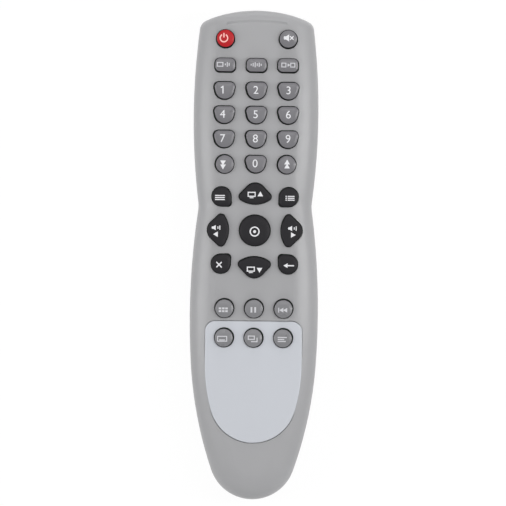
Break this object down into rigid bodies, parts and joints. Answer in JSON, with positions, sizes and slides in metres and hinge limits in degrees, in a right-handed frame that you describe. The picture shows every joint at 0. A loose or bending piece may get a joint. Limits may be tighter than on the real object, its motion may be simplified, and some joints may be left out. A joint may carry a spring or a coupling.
{
  "type": "satellite receiver remote control",
  "caption": "Slim waisted remote control with rubber keys in a grid, a dark round pad and a silver plate, clipped from two shells over a board and cells.",
  "frame": {"origin": "on the resting plane, under the middle of the case", "axes": "+Y towards the infrared end, +Z out of the key face, +X to the right seen from the key face"},
  "size_m": [0.0512, 0.195, 0.0237],
  "materials": {
    "case_plastic": "satin moulded ABS, fine texture",
    "silver_plate": "satin silver paint on moulded plastic",
    "window_plastic": "smoked, polished",
    "emitter_resin": "clear bluish resin",
    "board_laminate": "solder mask over laminate",
    "mat_rubber": "matt silicone rubber",
    "key_grey": "grey silicone rubber, painted top",
    "key_black": "near-black silicone rubber",
    "key_red": "red silicone rubber",
    "screw_steel": "zinc plated",
    "chip_resin": "moulded epoxy",
    "resonator_resin": "dipped blue resin",
    "capacitor_can": "sleeved can",
    "cell_jacket": "printed steel can",
    "contact_nickel": "nickel plated strip"
  },
  "bodies": {
    "case": {"battery_left": "cell_jacket", "battery_right": "cell_jacket", "board_screws": "screw_steel", "bottom_case": "case_plastic", "bridge_contact": "contact_nickel", "circuit_board": "board_laminate", "controller_chip": "chip_resin", "front_plate": "silver_plate", "ir_led": "emitter_resin", "ir_window": "window_plastic", "keypad_mat": "mat_rubber", "led_driver_transistor": "chip_resin", "negative_contact": "contact_nickel", "positive_contact": "contact_nickel", "reservoir_capacitor": "capacitor_can", "resistors": "chip_resin", "resonator": "resonator_resin", "top_case": "case_plastic"},
    "battery_cover": {"battery_cover": "case_plastic"},
    "key_0": {"key_0": "key_grey"},
    "key_1": {"key_1": "key_grey"},
    "key_2": {"key_2": "key_grey"},
    "key_3": {"key_3": "key_grey"},
    "key_4": {"key_4": "key_grey"},
    "key_5": {"key_5": "key_grey"},
    "key_6": {"key_6": "key_grey"},
    "key_7": {"key_7": "key_grey"},
    "key_8": {"key_8": "key_grey"},
    "key_9": {"key_9": "key_grey"},
    "key_audio": {"key_audio": "key_grey"},
    "key_back": {"key_back": "key_black"},
    "key_channel_down": {"key_channel_down": "key_black"},
    "key_channel_up": {"key_channel_up": "key_black"},
    "key_exit": {"key_exit": "key_black"},
    "key_guide": {"key_guide": "key_grey"},
    "key_info": {"key_info": "key_black"},
    "key_last": {"key_last": "key_grey"},
    "key_menu": {"key_menu": "key_black"},
    "key_mute": {"key_mute": "key_grey"},
    "key_ok": {"key_ok": "key_black"},
    "key_page_down": {"key_page_down": "key_grey"},
    "key_page_up": {"key_page_up": "key_grey"},
    "key_pause": {"key_pause": "key_grey"},
    "key_power": {"key_power": "key_red"},
    "key_subtitle": {"key_subtitle": "key_grey"},
    "key_teletext": {"key_teletext": "key_grey"},
    "key_tv_radio": {"key_tv_radio": "key_grey"},
    "key_tv_receiver": {"key_tv_receiver": "key_grey"},
    "key_tv_system": {"key_tv_system": "key_grey"},
    "key_volume_down": {"key_volume_down": "key_black"},
    "key_volume_up": {"key_volume_up": "key_black"}
  },
  "joints": [
    {"name": "battery_cover_slide", "type": "slide", "parent": "case", "child": "battery_cover", "axis": [0, -1, 0], "range_m": [0, 0.06]},
    {"name": "key_0_press", "type": "slide", "parent": "case", "child": "key_0", "axis": [0, 0, -1], "range_m": [0, 0.0009], "stiffness_N_per_m": 1000},
    {"name": "key_1_press", "type": "slide", "parent": "case", "child": "key_1", "axis": [0, 0, -1], "range_m": [0, 0.0009], "stiffness_N_per_m": 1000},
    {"name": "key_2_press", "type": "slide", "parent": "case", "child": "key_2", "axis": [0, 0, -1], "range_m": [0, 0.0009], "stiffness_N_per_m": 1000},
    {"name": "key_3_press", "type": "slide", "parent": "case", "child": "key_3", "axis": [0, 0, -1], "range_m": [0, 0.0009], "stiffness_N_per_m": 1000},
    {"name": "key_4_press", "type": "slide", "parent": "case", "child": "key_4", "axis": [0, 0, -1], "range_m": [0, 0.0009], "stiffness_N_per_m": 1000},
    {"name": "key_5_press", "type": "slide", "parent": "case", "child": "key_5", "axis": [0, 0, -1], "range_m": [0, 0.0009], "stiffness_N_per_m": 1000},
    {"name": "key_6_press", "type": "slide", "parent": "case", "child": "key_6", "axis": [0, 0, -1], "range_m": [0, 0.0009], "stiffness_N_per_m": 1000},
    {"name": "key_7_press", "type": "slide", "parent": "case", "child": "key_7", "axis": [0, 0, -1], "range_m": [0, 0.0009], "stiffness_N_per_m": 1000},
    {"name": "key_8_press", "type": "slide", "parent": "case", "child": "key_8", "axis": [0, 0, -1], "range_m": [0, 0.0009], "stiffness_N_per_m": 1000},
    {"name": "key_9_press", "type": "slide", "parent": "case", "child": "key_9", "axis": [0, 0, -1], "range_m": [0, 0.0009], "stiffness_N_per_m": 1000},
    {"name": "key_audio_press", "type": "slide", "parent": "case", "child": "key_audio", "axis": [0, 0, -1], "range_m": [0, 0.0009], "stiffness_N_per_m": 1000},
    {"name": "key_back_press", "type": "slide", "parent": "case", "child": "key_back", "axis": [0, 0, -1], "range_m": [0, 0.0009], "stiffness_N_per_m": 1000},
    {"name": "key_channel_down_press", "type": "slide", "parent": "case", "child": "key_channel_down", "axis": [0, 0, -1], "range_m": [0, 0.0009], "stiffness_N_per_m": 1000},
    {"name": "key_channel_up_press", "type": "slide", "parent": "case", "child": "key_channel_up", "axis": [0, 0, -1], "range_m": [0, 0.0009], "stiffness_N_per_m": 1000},
    {"name": "key_exit_press", "type": "slide", "parent": "case", "child": "key_exit", "axis": [0, 0, -1], "range_m": [0, 0.0009], "stiffness_N_per_m": 1000},
    {"name": "key_guide_press", "type": "slide", "parent": "case", "child": "key_guide", "axis": [0, 0, -1], "range_m": [0, 0.0009], "stiffness_N_per_m": 1000},
    {"name": "key_info_press", "type": "slide", "parent": "case", "child": "key_info", "axis": [0, 0, -1], "range_m": [0, 0.0009], "stiffness_N_per_m": 1000},
    {"name": "key_last_press", "type": "slide", "parent": "case", "child": "key_last", "axis": [0, 0, -1], "range_m": [0, 0.0009], "stiffness_N_per_m": 1000},
    {"name": "key_menu_press", "type": "slide", "parent": "case", "child": "key_menu", "axis": [0, 0, -1], "range_m": [0, 0.0009], "stiffness_N_per_m": 1000},
    {"name": "key_mute_press", "type": "slide", "parent": "case", "child": "key_mute", "axis": [0, 0, -1], "range_m": [0, 0.0009], "stiffness_N_per_m": 1000},
    {"name": "key_ok_press", "type": "slide", "parent": "case", "child": "key_ok", "axis": [0, 0, -1], "range_m": [0, 0.0009], "stiffness_N_per_m": 1000},
    {"name": "key_page_down_press", "type": "slide", "parent": "case", "child": "key_page_down", "axis": [0, 0, -1], "range_m": [0, 0.0009], "stiffness_N_per_m": 1000},
    {"name": "key_page_up_press", "type": "slide", "parent": "case", "child": "key_page_up", "axis": [0, 0, -1], "range_m": [0, 0.0009], "stiffness_N_per_m": 1000},
    {"name": "key_pause_press", "type": "slide", "parent": "case", "child": "key_pause", "axis": [0, 0, -1], "range_m": [0, 0.0009], "stiffness_N_per_m": 1000},
    {"name": "key_power_press", "type": "slide", "parent": "case", "child": "key_power", "axis": [0, 0, -1], "range_m": [0, 0.0009], "stiffness_N_per_m": 1000},
    {"name": "key_subtitle_press", "type": "slide", "parent": "case", "child": "key_subtitle", "axis": [0, 0, -1], "range_m": [0, 0.0009], "stiffness_N_per_m": 1000},
    {"name": "key_teletext_press", "type": "slide", "parent": "case", "child": "key_teletext", "axis": [0, 0, -1], "range_m": [0, 0.0009], "stiffness_N_per_m": 1000},
    {"name": "key_tv_radio_press", "type": "slide", "parent": "case", "child": "key_tv_radio", "axis": [0, 0, -1], "range_m": [0, 0.0009], "stiffness_N_per_m": 1000},
    {"name": "key_tv_receiver_press", "type": "slide", "parent": "case", "child": "key_tv_receiver", "axis": [0, 0, -1], "range_m": [0, 0.0009], "stiffness_N_per_m": 1000},
    {"name": "key_tv_system_press", "type": "slide", "parent": "case", "child": "key_tv_system", "axis": [0, 0, -1], "range_m": [0, 0.0009], "stiffness_N_per_m": 1000},
    {"name": "key_volume_down_press", "type": "slide", "parent": "case", "child": "key_volume_down", "axis": [0, 0, -1], "range_m": [0, 0.0009], "stiffness_N_per_m": 1000},
    {"name": "key_volume_up_press", "type": "slide", "parent": "case", "child": "key_volume_up", "axis": [0, 0, -1], "range_m": [0, 0.0009], "stiffness_N_per_m": 1000}
  ]
}
